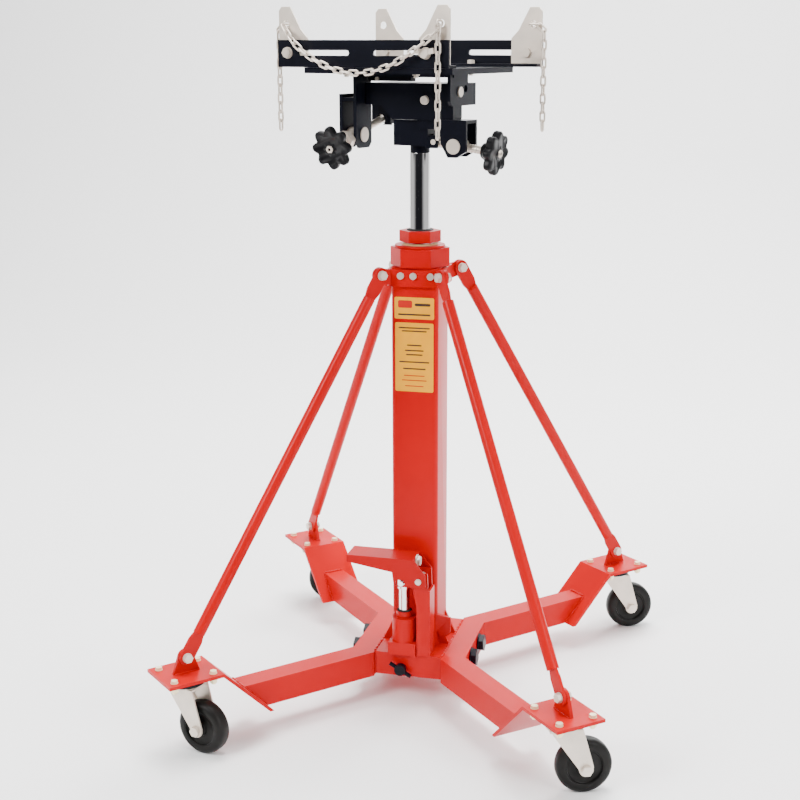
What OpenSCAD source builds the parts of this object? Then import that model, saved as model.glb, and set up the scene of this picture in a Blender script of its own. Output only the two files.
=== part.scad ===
/* [Base] */
// Leg direction, degrees from the X axis
leg_angle = 47.5; // [40:0.5:50]
// Leg tube width
leg_w = 45; // [35:1:60]
// Leg tube height
leg_h = 50; // [40:1:60]
// Height of the leg's underside
leg_z = 50; // [40:1:60]
// Half width of the centre block
block_half = 66.7; // [60:0.1:80]
// Caster plate width
plate_w = 98; // [80:1:120]
// Caster plate thickness
plate_t = 6; // [4:0.5:10]
// Height of the caster plate's top face
plate_top = 148; // [130:1:170]
// Distance of each caster's kingpin from the column axis
kingpin_r = 509; // [450:1:560]

/* [Casters] */
// Wheel diameter
wheel_d = 100; // [75:1:125]
// Wheel width
wheel_w = 30; // [24:1:40]
// Distance from the kingpin to the axle
trail = 37; // [25:1:45]
// Direction three of the wheels trail in, degrees from X
trail_yaw = 22.4; // [-180:0.1:180]
// Direction the left front wheel trails in, degrees from X
trail_yaw_fl = -16; // [-180:0.1:180]

/* [Column] */
// Column tube, outside
col_w = 90; // [70:1:110]
// Column tube wall
col_wall = 6; // [4:0.5:8]
// Column height from the floor
col_top = 846; // [700:1:950]
// Strut tube diameter
strut_d = 22; // [18:1:30]
// Height of the struts' upper bolts
ear_z = 835; // [700:1:900]
// Distance of the upper bolts from the column axis
ear_r = 90; // [80:1:110]
// Height of the struts' lower bolts
lug_z = 178; // [170:1:200]

/* [Ram] */
// First stage tube diameter
stage_d = 56; // [48:1:62]
// Ram diameter
ram_d = 38; // [30:1:42]
// Height of the ram's shoulder under the head
ram_top = 1055; // [930:1:1300]

/* [Head] */
// Head direction about the column, degrees
head_yaw = -15; // [-180:0.5:180]
// Saddle pan width
pan_w = 296; // [240:1:340]
// Arm length
arm_l = 344; // [300:1:400]
// Arm height
arm_h = 46.7; // [35:0.1:60]
// Front arm's slide position
front_shift = -31.5; // [-49:0.5:49]
// Back arm's slide position
back_shift = 35.5; // [-49:0.5:49]
// Knob diameter
knob_d = 74; // [50:1:90]

/* [Pump] */
// Pump piston diameter
pump_d = 21; // [16:1:26]
// Pedal length from its tip to its pivot
pedal_l = 142; // [110:1:200]

/* [Hidden] */
$fn = 64;
leg_az = [-leg_angle, leg_angle, 180 - leg_angle, 180 + leg_angle];
side = [-1, -1, 1, 1];
ux = cos(leg_angle);
uy = sin(leg_angle);
frame_c = block_half + 0.3 + leg_w / 2;
incl = plate_top - (kingpin_r - 54);
incl_t = plate_t * sqrt(2);
axle_z = wheel_d / 2;
strut_l = sqrt(pow(kingpin_r - ear_r, 2) + pow(ear_z - lug_z, 2));
strut_a = atan2(ear_z - lug_z, ear_r - kingpin_r);
pan_z = 1208;
pan_y0 = -156;
pan_y1 = 81;
arm_z = pan_z + 0.3;
arm_top = arm_z + arm_h;
a_y = -32;
a_z = 1166;
b_x = 36;
b_z = 1151;
e1 = [66, 1115];
t1 = [-48, 1087];
long_x = -109;
e2 = [46, 1077];
t2 = [92, 1070.7];
side_y = -22;
long_a = atan2(e1[1] - t1[1], e1[0] - t1[0]);
side_a = atan2(e2[1] - t2[1], t2[0] - e2[0]);
px = -10;
py = -85;
piv_x = 24;
piv_z = 256;
wire = 3.4;
link_l = 23;
link_w = 12;
pitch = 15.6;

// Colours
red = [0.85, 0.02, 0.04];
black = [0.03, 0.03, 0.05];
zinc = [0.8, 0.78, 0.74];
chrome = [0.85, 0.86, 0.88];

// Helpers
module rsq(w, r) {
  square([w, w - 2 * r], center = true);
  square([w - 2 * r, w], center = true);
  for (x = [-1, 1], y = [-1, 1])
    translate([x * (w / 2 - r), y * (w / 2 - r)]) circle(r);
}

module along_y(r, y0, y1) {
  translate([0, y0, 0]) rotate([-90, 0, 0]) cylinder(r = r, h = y1 - y0);
}

module along_x(r, x0, x1) {
  translate([x0, 0, 0]) rotate([0, 90, 0]) cylinder(r = r, h = x1 - x0);
}

module hex_y(af, y0, y1) {
  translate([0, y0, 0]) rotate([-90, 0, 0]) cylinder(r = af / sqrt(3), h = y1 - y0, $fn = 6);
}

module hex_x(af, x0, x1) {
  translate([x0, 0, 0]) rotate([0, 90, 0]) cylinder(r = af / sqrt(3), h = x1 - x0, $fn = 6);
}

module box(a, b) {
  translate(a) cube([b[0] - a[0], b[1] - a[1], b[2] - a[2]]);
}

module side_plate(y0, y1) {
  translate([0, y1, 0]) rotate([90, 0, 0]) linear_extrude(y1 - y0) children();
}

module cross_plate(x0, x1) {
  translate([x0, 0, 0]) rotate([90, 0, 90]) linear_extrude(x1 - x0) children();
}

module head() {
  rotate([0, 0, head_yaw]) children();
}

module leg(i) {
  rotate([0, 0, leg_az[i]]) scale_y(side[i]) children();
}

module scale_y(s) {
  if (s < 0) mirror([0, 1, 0]) children();
  else children();
}

// Base frame
function band_t(x0, s, h) = (x0 - s * h * uy) / ux;
function band_y(t, s, h) = t * uy - s * h * ux;

module frame_outline(h, reach) {
  ti = band_t(frame_c - h, -1, h);
  to = band_t(frame_c + h, 1, h);
  yi = band_y(ti, -1, h);
  yo = band_y(to, 1, h);
  xe1 = reach * ux - h * uy;
  ye1 = reach * uy + h * ux;
  xe2 = reach * ux + h * uy;
  ye2 = reach * uy - h * ux;
  polygon([[frame_c - h, -yi], [xe1, -ye1], [xe2, -ye2], [frame_c + h, -yo],
    [frame_c + h, yo], [xe2, ye2], [xe1, ye1], [frame_c - h, yi]]);
}

module bent_plate() {
  r0 = leg_z - incl;
  rb = plate_top - incl;
  difference() {
    union() {
      side_plate(-plate_w / 2, plate_w / 2)
        polygon([[r0, leg_z], [rb, plate_top], [kingpin_r + 54, plate_top],
          [kingpin_r + 54, plate_top - plate_t],
          [rb + incl_t - plate_t, plate_top - plate_t], [r0 + incl_t, leg_z]]);
      side_plate(-3, 3) {
        polygon([[kingpin_r - 26, plate_top - 1], [kingpin_r + 26, plate_top - 1],
          [kingpin_r + 14, lug_z + 5], [kingpin_r - 14, lug_z + 5]]);
        translate([kingpin_r, lug_z]) circle(15);
      }
    }
    translate([kingpin_r, 0, lug_z]) along_y(5.3, -5, 5);
    for (x = [-38, 38], y = [-34, 34])
      translate([kingpin_r + x, y, plate_top - 20]) cylinder(r = 4.5, h = 30);
  }
}

module side_frame(s, ids) {
  color(red) {
    difference() {
      translate([0, 0, leg_z]) scale_x(s) linear_extrude(leg_h) frame_outline(leg_w / 2, 460);
      translate([0, 0, leg_z + 3.2]) scale_x(s) linear_extrude(leg_h - 6.4)
        frame_outline(leg_w / 2 - 3.2, 480);
      for (i = ids) leg(i) side_plate(-60, 60)
        polygon([[leg_z - 10 - incl, leg_z - 10], [leg_z + leg_h + 10 - incl, leg_z + leg_h + 10],
          [700, leg_z + leg_h + 10], [700, leg_z - 10]]);
      for (y = [-36, 36]) translate([s * frame_c, y, 80]) along_x(10.3, -40, 40);
    }
    for (i = ids) leg(i) bent_plate();
  }
}

module scale_x(s) {
  if (s < 0) mirror([1, 0, 0]) children();
  else children();
}

module side_frame_left() {
  side_frame(-1, [2, 3]);
}

module side_frame_right() {
  side_frame(1, [0, 1]);
}

module centre_base() {
  w = block_half;
  color(red) difference() {
    box([-w, -100, leg_z + 4], [w, 100, 100]);
    box([-w + 8, -70, leg_z + 12], [w - 8, 92, 92]);
    translate([0, 0, 80]) cylinder(r = 39.6, h = 30);
    for (y = [-36, 36]) translate([0, y, 80]) along_x(10.3, -w - 1, w + 1);
    translate([-12, -101, 72]) along_y(6.1, 0, 32);
    translate([px, py, 94]) cylinder(r = 9, h = 10);
  }
}

module frame_bolts() {
  w = block_half;
  xo = frame_c + leg_w / 2;
  color(black) for (s = [-1, 1], y = [-36, 36]) scale_x(s) translate([0, y, 80]) {
    along_x(10, w - 14, xo + 0.1);
    hex_x(30, xo + 3, xo + 13);
    along_x(18, xo, xo + 3);
  }
}

// Column
module column_tube() {
  color(red) {
    difference() {
      union() {
        translate([0, 0, 100]) linear_extrude(col_top - 100) rsq(col_w, 8);
        for (x = [-1, 1]) scale_x(x) {
          side_plate(26, 32) polygon([[44, 100], [66, 100], [44, 150]]);
          side_plate(-32, -26) polygon([[44, 100], [66, 100], [44, 150]]);
        }
        scale_y(-1) cross_plate(-36, -30) polygon([[-66, 100], [-44, 100], [-44, 135]]);
        side_plate(-44, -38) {
          translate([58, 134]) circle(14);
          polygon([[40, 128], [72, 134], [72, 160], [40, 166]]);
        }
      }
      translate([0, 0, 99]) linear_extrude(col_top) rsq(col_w - 2 * col_wall, 3);
      for (x = [-24, 0, 33]) translate([x, 0, ear_z - 2]) along_y(2.6, -50, -30);
    }
  }
}

module strut_collar() {
  color(red) difference() {
    union() {
      translate([0, 0, 812]) linear_extrude(32) rsq(col_w + 15, 14);
      for (i = [0:3]) leg(i) side_plate(-3, 3) {
        polygon([[58, 813], [ear_r + 6, ear_z - 13], [ear_r + 6, ear_z + 13], [58, 843]]);
        translate([ear_r, ear_z]) circle(14.5);
      }
    }
    translate([0, 0, 700]) linear_extrude(300) rsq(col_w + 0.6, 8.3);
    for (i = [0:3]) leg(i) translate([ear_r, 0, ear_z]) along_y(5.3, -5, 5);
    for (x = [-24, 0, 33]) translate([x, 0, ear_z - 2]) along_y(3.2, -60, -40);
  }
}

module strut(i) {
  color(red) leg(i) translate([kingpin_r, 5.8, lug_z]) rotate([0, -strut_a, 0]) difference() {
    union() {
      for (e = [0, 1]) translate([e * strut_l, 0, 0]) scale_x(e > 0 ? -1 : 1) side_plate(-2.4, 2.4) {
        circle(14);
        polygon([[0, -14], [34, -14], [56, -8], [64, -8], [64, 8], [56, 8], [34, 14], [0, 14]]);
      }
      along_x(strut_d / 2, 48, strut_l - 48);
    }
    along_x(strut_d / 2 - 2, 66, strut_l - 66);
    along_y(5.3, -5, 5);
    translate([strut_l, 0, 0]) along_y(5.3, -5, 5);
  }
}

module strut_fl() {
  strut(3);
}

module strut_fr() {
  strut(0);
}

module strut_rl() {
  strut(2);
}

module strut_rr() {
  strut(1);
}

module strut_bolts() {
  color(zinc) {
    for (i = [0:3], q = [[kingpin_r, lug_z], [ear_r, ear_z]]) leg(i) translate([q[0], 0, q[1]]) {
      along_y(5, -12, 10);
      along_y(9, 8.3, 10.1);
      hex_y(15, 10, 16);
      hex_y(15, -11, -3);
    }
    for (x = [-24, 0, 33]) translate([x, 0, ear_z - 2]) {
      along_y(2.4, -53, -39.5);
      along_y(6.5, -56.5, -52.6);
    }
  }
}

module pressure_cylinder() {
  color([0.5, 0.52, 0.54]) translate([0, 0, 86]) difference() {
    cylinder(r = 38, h = 775);
    translate([0, 0, 12]) cylinder(r = 33, h = 800);
  }
}

module gland_nut() {
  color(red) difference() {
    union() {
      translate([0, 0, col_top + 0.3]) rotate([0, 0, 4]) cylinder(r = 98 / sqrt(3), h = 35, $fn = 6);
      translate([0, 0, col_top + 35.3]) cylinder(r = 47.5, h = 4.7);
    }
    translate([0, 0, col_top - 1]) cylinder(r = 38.3, h = 18);
    translate([0, 0, col_top - 1]) cylinder(r = stage_d / 2 + 0.05, h = 60);
  }
}

// Lift
module stage_one_tube() {
  color(chrome) difference() {
    union() {
      translate([0, 0, 150]) cylinder(r = stage_d / 2, h = 755);
      translate([0, 0, 150]) cylinder(r = 32.95, h = 25);
    }
    translate([0, 0, 149]) cylinder(r = 22, h = 800);
  }
}

module stage_one_nut() {
  color(red) difference() {
    translate([0, 0, 891]) rotate([0, 0, 12]) cylinder(r = 68 / sqrt(3), h = 21.5, $fn = 6);
    translate([0, 0, 890]) cylinder(r = stage_d / 2 + 0.1, h = 15);
    translate([0, 0, 890]) cylinder(r = ram_d / 2 + 0.05, h = 40);
  }
}

module ram() {
  color(chrome) {
    translate([0, 0, 300]) cylinder(r = 21.95, h = 25);
    translate([0, 0, 300]) cylinder(r = ram_d / 2, h = ram_top - 300);
    translate([0, 0, 300]) cylinder(r = 15, h = ram_top - 300 + 50);
  }
}

// Head
module hub() {
  color(black) head() difference() {
    union() {
      translate([0, 0, ram_top + 0.3]) cylinder(r = 18, h = 20);
      box([-35.5, -35.5, 1069], [35.5, 35.5, 1115]);
      box([b_x - 19, -40.7, 1100], [b_x + 19, 40.7, b_z]);
      translate([b_x, 0, b_z]) along_y(19, -40.7, 40.7);
      box([30, -35, e2[1] - 11], [e2[0] + 8, -30, e2[1] + 11]);
      box([30, -14, e2[1] - 11], [e2[0] + 8, -9, e2[1] + 11]);
    }
    translate([0, 0, 1040]) cylinder(r = 15.05, h = 66);
    translate([b_x, 0, b_z]) along_y(8.05, -50, 50);
    translate([e2[0], 0, e2[1]]) along_y(5.05, -40, -5);
    box([30, -29.9, e2[1] - 13], [e2[0] + 10, -14.1, e2[1] + 13]);
  }
}

module yoke_frame() {
  cheek = [[-88, 1180], [90, 1180], [90, 1141], [62, 1141], [62, 1116], [-32, 1116],
    [-55, 1141], [-88, 1141]];
  fx0 = 66;
  fx1 = 117;
  color(black) head() difference() {
    union() {
      side_plate(-47, -41) polygon(cheek);
      side_plate(41, 47) polygon(cheek);
      box([-88, -47, 1174], [90, 47, 1180]);
      box([-88, -47, 1141], [-82, 47, 1180]);
      box([84, -47, 1141], [90, 47, 1180]);
      box([66, -42, 1112], [90, -9, 1146]);
      box([fx0, -44, 1111], [fx1, 0, 1117]);
      for (y = [-44, -6]) side_plate(y, y + 6)
        polygon([[fx0, 1112], [fx0, 1075], [fx0 + 14, 1051], [fx0 + 32, 1051],
          [fx1, 1062], [fx1, 1112]]);
      box([-127, 41, 1100], [-86, 47, 1176]);
      for (x = [-123, -100]) box([x, 46, 1102], [x + 5, 80, 1128]);
    }
    for (y = [-48, 40]) translate([b_x, y, b_z]) along_y(8.05, 0, 8);
    translate([t2[0], 0, t2[1]]) along_y(13.55, -50, 5);
    for (x = [-90, 82]) translate([x, a_y, a_z]) along_x(7.05, 0, 10);
    translate([long_x, e1[0], e1[1]]) along_x(5.05, -20, 20);
    translate([long_x, e1[0], e1[1]]) rotate([long_a, 0, 0]) along_y(10.5, -60, -10);
  }
}

module yoke_bolts() {
  color(zinc) head() translate([b_x, 0, b_z]) {
    along_y(8, -47, 47);
    along_y(7.5, -52, -46.9);
    hex_y(22, 47, 57);
  }
}

module side_axis() {
  head() translate([e2[0], side_y, e2[1]]) rotate([0, side_a, 0]) children();
}

module long_axis() {
  head() translate([long_x, e1[0], e1[1]]) rotate([long_a, 0, 0]) children();
}

module side_block() {
  color(zinc) head() difference() {
    union() {
      translate([e2[0], side_y, e2[1]]) rotate([0, side_a, 0]) box([-9, -7.5, -9], [9, 7.5, 9]);
      translate([e2[0], 0, e2[1]]) along_y(5, -35.5, -8.5);
    }
    translate([e2[0], side_y, e2[1]]) rotate([0, side_a, 0]) along_x(4.55, -20, 20);
  }
}

module side_rod() {
  color(zinc) side_axis() {
    along_x(4.5, -9.3, 12);
    along_x(6.5, -13, -9.3);
    along_x(7, 9.3, 121);
  }
}

module knob(w) {
  r = knob_d / 2;
  difference() {
    union() {
      rotate([90, 0, 90]) linear_extrude(w) {
        circle(r - 6);
        for (a = [22.5:45:337.5]) rotate(a) translate([r - 8.5, 0]) circle(8.5);
      }
      along_x(r - 15, -6, w + 3);
      along_x(14, -16, 1);
    }
    along_x(7.1, -30, w - 6);
  }
}

module side_knob() {
  color(black) side_axis() translate([112, 0, 0]) knob(16);
}

module side_nut() {
  color(zinc) head() difference() {
    translate([t2[0], 0, t2[1]]) along_y(13.5, -46, 1);
    side_axis_local() along_x(9.6, 20, 80);
  }
}

module side_axis_local() {
  translate([e2[0], side_y, e2[1]]) rotate([0, side_a, 0]) children();
}

module long_block() {
  color(zinc) head() difference() {
    union() {
      translate([long_x, e1[0], e1[1]]) rotate([long_a, 0, 0]) box([-8.5, -9, -9], [8.5, 9, 9]);
      translate([long_x, e1[0], e1[1]]) along_x(5, -14.5, 14.5);
    }
    translate([long_x, e1[0], e1[1]]) rotate([long_a, 0, 0]) along_y(4.55, -20, 20);
  }
}

module long_rod() {
  color(zinc) long_axis() {
    along_y(4.5, -12, 9.3);
    along_y(6.5, 9.3, 13);
    along_y(7, -202, -9.3);
  }
}

module long_knob() {
  color(black) long_axis() rotate([0, 0, -90]) translate([193, 0, 0]) knob(16);
}

module long_nut() {
  d = sqrt(pow(e1[0] - t1[0], 2) + pow(e1[1] - t1[1], 2));
  color(zinc) head() difference() {
    union() {
      translate([long_x, t1[0], t1[1]]) along_x(13.5, -20, 20);
      translate([long_x, e1[0], e1[1]]) rotate([long_a, 0, 0]) {
        along_y(11, -d - 40, -d);
        hex_y(30, -d - 43, -d - 29);
      }
    }
    translate([long_x, e1[0], e1[1]]) rotate([long_a, 0, 0]) along_y(9, -d - 70, -d + 30);
  }
}

module saddle_pan() {
  w = pan_w / 2;
  near = [[-75, 1200], [-21, 1200], [-21, 1072], [-30, 1063], [-62, 1063], [-75, 1078]];
  far = [[-75, 1160], [-21, 1160], [-21, 1072], [-30, 1063], [-62, 1063], [-75, 1078]];
  color(black) head() difference() {
    union() {
      box([-w, pan_y0, pan_z - 10], [w, pan_y1, pan_z]);
      box([-100, -58, 1191], [100, -10, 1204]);
      box([-86, -40, 1183], [4, -24, 1204]);
      cross_plate(-97, -91) polygon(near);
      cross_plate(-127, -121) polygon(far);
      box([-127, -75, 1148], [-91, -21, 1154]);
      cross_plate(92, 98) polygon([[-68, 1200], [0, 1200], [0, 1143], [-62, 1143], [-68, 1150]]);
    }
    difference() {
      box([-w + 5, pan_y0 + 5, pan_z - 11], [w - 5, pan_y1 - 5, pan_z - 5]);
      box([-101, -59, 1180], [101, -9, 1210]);
      box([-98, -76, 1180], [-90, -20, 1210]);
      box([91, -69, 1180], [99, 1, 1210]);
    }
    for (x = [-98, 90]) translate([x, a_y, a_z]) along_x(7.05, 0, 10);
    translate([long_x, t1[0], t1[1]]) along_x(13.55, -22, 22);
    translate([90, -9, 1171]) along_x(6.5, 0, 10);
    translate([-66, 0, 1186.8]) along_y(3.2, -50, -20);
    for (a = [45:90:315]) translate([70 * cos(a), -37 + 70 * sin(a), 1180]) cylinder(r = 5.5, h = 40);
    for (x = [-70, 70], y = [pan_y0 + 15, pan_y1 - 15]) translate([x, y, 1180]) cylinder(r = 4.2, h = 40);
  }
}

module saddle_pins() {
  color(zinc) head() {
    for (s = [-1, 1]) scale_x(s) translate([0, a_y, a_z]) {
      along_x(7, 82, 98.2 - (s < 0 ? 1 : 0));
      along_x(9, 98.2 - (s < 0 ? 1 : 0), 101);
    }
    translate([-66, 0, 1186.8]) {
      along_y(3, -41, -22);
      along_y(4, -44, -40.2);
    }
  }
}

module clamp_bolts() {
  color(zinc) head() for (x = [-70, 70], y = [pan_y0 + 15, pan_y1 - 15]) translate([x, y, 0]) {
    translate([0, 0, pan_z - 16]) cylinder(r = 4, h = 28);
    translate([0, 0, arm_z + 5.3]) cylinder(r = 13 / sqrt(3), h = 6, $fn = 6);
    translate([0, 0, pan_z - 12]) cylinder(r = 13 / sqrt(3), h = 6.9, $fn = 6);
  }
}

module slot_y(x0, x1, z, r) {
  translate([x0 + r, 0, z]) along_y(r, -10, 10);
  translate([x1 - r, 0, z]) along_y(r, -10, 10);
  box([x0 + r, -10, z - r], [x1 - r, 10, z + r]);
}

module slot_z(x0, x1, r) {
  for (x = [x0 + r, x1 - r]) translate([x, 0, -10]) cylinder(r = r, h = 20);
  box([x0 + r, -r, -10], [x1 - r, r, 10]);
}

module arm(holes) {
  h = arm_l / 2;
  difference() {
    union() {
      box([-h, 0, arm_z], [h, 5, arm_top]);
      box([-h, 0, arm_z], [h, 28, arm_z + 5]);
    }
    for (s = [-1, 1]) scale_x(s) {
      translate([0, 0, 1233]) rotate([0, 0, 0]) slot_y(24, 130, 0, 4.6);
      translate([0, 15, arm_z]) slot_z(15, 125, 4.4);
    }
    for (x = holes) translate([x, 0, 1233]) along_y(5.3, -10, 10);
  }
}

module front_arm() {
  color(black) head() translate([front_shift, pan_y0, 0]) arm([-151, 129]);
}

module back_arm() {
  color(black) head() translate([back_shift, pan_y1, 0]) mirror([0, 1, 0]) arm([-151, 143]);
}

module bracket(hole) {
  side_plate(0, 3) difference() {
    polygon([[0, 1214], [60, 1214], [60, 1258], [46, 1272], [24, 1312], [6, 1312], [0, 1305]]);
    translate([17, 1282]) circle(6.5);
    translate([hole, 1233]) circle(5.3);
  }
}

module bracket_left() {
  color(zinc) head() translate([front_shift - arm_l / 2, pan_y0 + 5, 0]) bracket(21);
}

module bracket_front() {
  color(zinc) head() translate([front_shift + arm_l / 2, pan_y0 + 5, 0]) mirror([1, 0, 0]) bracket(43);
}

module bracket_back() {
  color(zinc) head() translate([back_shift - arm_l / 2, pan_y1 - 8, 0]) bracket(21);
}

module bracket_right() {
  color(zinc) head() translate([back_shift + arm_l / 2, pan_y1 - 8, 0]) mirror([1, 0, 0]) bracket(29);
}

module bracket_bolt() {
  along_y(5, -8, 10);
  along_y(10, -1.8, 0);
  hex_y(15, -7.5, -1.8);
  hex_y(15, 8, 13);
}

module front_arm_bolts() {
  color(zinc) head() {
    translate([front_shift - arm_l / 2 + 21, pan_y0, 1233]) bracket_bolt();
    translate([front_shift + arm_l / 2 - 43, pan_y0, 1233]) {
      along_y(5, -9, 10);
      along_y(10, -1.8, 0);
      along_y(8, -10, -1.8);
      hex_y(15, 8, 13);
      for (s = [-1, 1]) scale_x(s) rotate([0, -12, 0]) box([5, -9, -4], [19, -5, 5]);
    }
  }
}

module back_arm_bolts() {
  color(zinc) head() translate([0, pan_y1, 1233]) mirror([0, 1, 0]) {
    translate([back_shift - arm_l / 2 + 21, 0, 0]) bracket_bolt();
    translate([back_shift + arm_l / 2 - 29, 0, 0]) bracket_bolt();
  }
}

// Chains
module link() {
  r = (link_w - wire) / 2;
  s = (link_l - link_w) / 2;
  for (e = [-1, 1]) {
    translate([0, e * r, 0]) along_x(wire / 2, -s, s);
    translate([e * s, 0, 0]) scale_x(e) rotate([0, 0, -90]) rotate_extrude(angle = 180)
      translate([r, 0]) circle(wire / 2);
  }
}

module tail(n, turn) {
  for (i = [0:n - 1]) translate([0, 0, -i * pitch]) rotate([0, 0, (i + turn) % 2 * 90])
    rotate([0, 90, 0]) link();
}

sx0 = front_shift - arm_l / 2 + 17;
sx1 = front_shift + arm_l / 2 - 17;
sag = 1.0476;
function sw_a(i) = atan(sag * (1 - 2 * (i + 0.5) / 23)) + 1.938;
function sw_y(i) = pan_y0 - min(17, 3.8 + 4.4 * i, 6.8 + 3.4 * (23 - i));
function sw_s(i) = sqrt(pitch * pitch - pow(sw_y(i + 1) - sw_y(i), 2));
function sw_x(i) = i == 0 ? sx0 - 2.6 : sw_x(i - 1) + sw_s(i - 1) * cos(sw_a(i - 1));
function sw_z(i) = i == 0 ? 1280.3 : sw_z(i - 1) - sw_s(i - 1) * sin(sw_a(i - 1));
function sw_p(i) = [sw_x(i), sw_y(i), sw_z(i)];

module aim(p, q, roll) {
  d = q - p;
  translate((p + q) / 2) rotate([0, -atan2(d[2], norm([d[0], d[1]])), atan2(d[1], d[0])])
    rotate([roll, 0, 0]) children();
}

module chain_front() {
  color(zinc) head() {
    for (i = [0:22]) aim(sw_p(i), sw_p(i + 1), i % 2 == 0 ? 0 : 90) link();
    aim([sx0, pan_y0 + 18, 1282], [sx0, pan_y0 - 6, 1282], 90) link();
    aim([sx1, pan_y0 + 12, 1282], [sx1, pan_y0 - 12.4, 1282], 90) link();
    translate([sx1, pan_y0 - 6.5, 1272.2]) tail(1, 1);
    aim([sx0 + 5, pan_y0 + 15.8, 1282], [sx0 - 17.4, pan_y0 + 15.8, 1282], 0) link();
    aim([sx0 - 12.2, pan_y0 + 15.8, 1282.2], [sx0 - 27.6, pan_y0 + 15.8, 1269.2], 90) link();
  }
}

module tail_left() {
  color(zinc) head() translate([sx0 - 24.7, pan_y0 + 15.8, 1261.9]) tail(11, 0);
}

module tail_front() {
  color(zinc) head() translate([sx1, pan_y0 - 6.5, 1272.2 - pitch]) tail(11, 0);
}

module chain_back() {
  rx = back_shift + arm_l / 2 - 17;
  color(zinc) head() {
    aim([rx, pan_y1 - 18, 1282], [rx, pan_y1 + 6, 1282], 90) link();
    aim([rx - 5, pan_y1 - 15.8, 1282], [rx + 17.4, pan_y1 - 15.8, 1282], 0) link();
    aim([rx + 12.2, pan_y1 - 15.8, 1282.2], [rx + 27.6, pan_y1 - 15.8, 1269.2], 90) link();
  }
}

module tail_right() {
  color(zinc) head() translate([back_shift + arm_l / 2 + 7.7, pan_y1 - 15.8, 1261.9]) tail(11, 0);
}

// Pump
module pump_body() {
  color(red) translate([px, py, 0]) difference() {
    union() {
      translate([0, 0, 100.2]) cylinder(r = 24, h = 74);
      box([-27, -24, 100.2], [27, 25, 126]);
      translate([0, 0, 174]) cylinder(r = 16, h = 12);
    }
    translate([0, 0, 118]) cylinder(r = pump_d / 2 + 0.05, h = 80);
    translate([0, 0, 90]) cylinder(r = 3, h = 40);
  }
}

module pump_bracket() {
  color(red) {
    difference() {
      union() {
        for (y = [-104, -71]) side_plate(y, y + 5)
          polygon([[18, 100.2], [46, 100.2], [40, 270], [10, 270], [10, 240], [18, 200]]);
        box([40, -104, 100.2], [45, -66, 236]);
      }
      translate([piv_x, 0, piv_z]) along_y(6.05, -120, -50);
    }
  }
}

module pedal() {
  x0 = piv_x - pedal_l;
  flange = [[x0, 299], [14, 299], [38, 268], [38, 246], [30, 243], [-20, 243],
    [-25, 248], [-28, 271], [x0, 285]];
  color(red) difference() {
    union() {
      side_plate(-112, -108) polygon(flange);
      side_plate(-62, -58) polygon(flange);
      box([x0, -112, 295], [14, -58, 299]);
      box([10, -112, 276], [14, -58, 299]);
      box([x0, -112, 285], [x0 + 4, -58, 299]);
    }
    translate([piv_x, 0, piv_z]) along_y(6.05, -120, -50);
    for (y = [-115, -65]) translate([0, y, 0]) {
      box([px - 6, 0, 245], [px + 1, 12, 256.6]);
      for (x = [-6, 1]) translate([px + x, 0, 250.8]) along_y(5.8, 0, 12);
    }
    translate([12, -85, 289]) along_x(5.2, -5, 5);
  }
}

module pedal_fasteners() {
  color(zinc) {
    translate([piv_x, 0, piv_z]) along_y(6, -115, -55);
    translate([12, -85, 289]) {
      along_x(5, -6, 8);
      along_x(12.5, 2, 4.5);
      hex_x(17, 4.5, 10.5);
    }
  }
}

module pump_piston() {
  color(chrome) {
    difference() {
      union() {
        translate([px, py, 134]) cylinder(r = pump_d / 2, h = 99);
        translate([px, py, 232]) cylinder(r = 13, h = 30);
      }
      translate([px, 0, 250]) along_y(5.1, -120, -50);
    }
    translate([px, 0, 250]) along_y(5, -115, -55);
  }
}

module release_screw() {
  color(black) translate([-12, 0, 72]) {
    along_y(6, -106, -72);
    along_y(11, -118, -106);
    translate([0, -113, 0]) rotate([0, 30, 0]) along_x(4, -24, 24);
  }
}

// Casters
module caster(i) {
  rotate([0, 0, leg_az[i]]) translate([kingpin_r, 0, 0])
    rotate([0, 0, (i == 3 ? trail_yaw_fl : trail_yaw) - leg_az[i]]) children();
}

module caster_plates() {
  zt = plate_top - plate_t;
  color(zinc) for (i = [0:3]) {
    difference() {
      leg(i) translate([kingpin_r, 0, 0]) union() {
        box([-46, -42, zt - 3.5], [46, 42, zt]);
        translate([0, 0, zt - 10]) cylinder(r = 29, h = 7);
        translate([0, 0, 112]) cylinder(r = 6, h = zt - 115);
        translate([0, 0, 111]) cylinder(r = 11, h = 4);
      }
      leg(i) for (x = [-38, 38], y = [-34, 34])
        translate([kingpin_r + x, y, zt - 8]) cylinder(r = 4.5, h = 12);
    }
  }
}

module caster_bolts() {
  zt = plate_top - plate_t;
  color([0.82, 0.74, 0.5]) for (i = [0:3]) leg(i) for (x = [-38, 38], y = [-34, 34])
    translate([kingpin_r + x, y, 0]) {
      translate([0, 0, zt - 14]) cylinder(r = 4, h = 21);
      translate([0, 0, plate_top]) cylinder(r = 6.8, h = 1.2);
      translate([0, 0, plate_top + 1.2]) cylinder(r = 11 / sqrt(3), h = 4.4, $fn = 6);
      translate([0, 0, zt - 10.5]) cylinder(r = 13 / sqrt(3), h = 6.9, $fn = 6);
    }
}

module caster_races() {
  zt = plate_top - plate_t;
  color(black) for (i = [0:3]) caster(i) difference() {
    translate([0, 0, zt - 14.5]) cylinder(r = 32, h = 4.5);
    translate([0, 0, zt - 20]) cylinder(r = 6.3, h = 20);
  }
}

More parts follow.
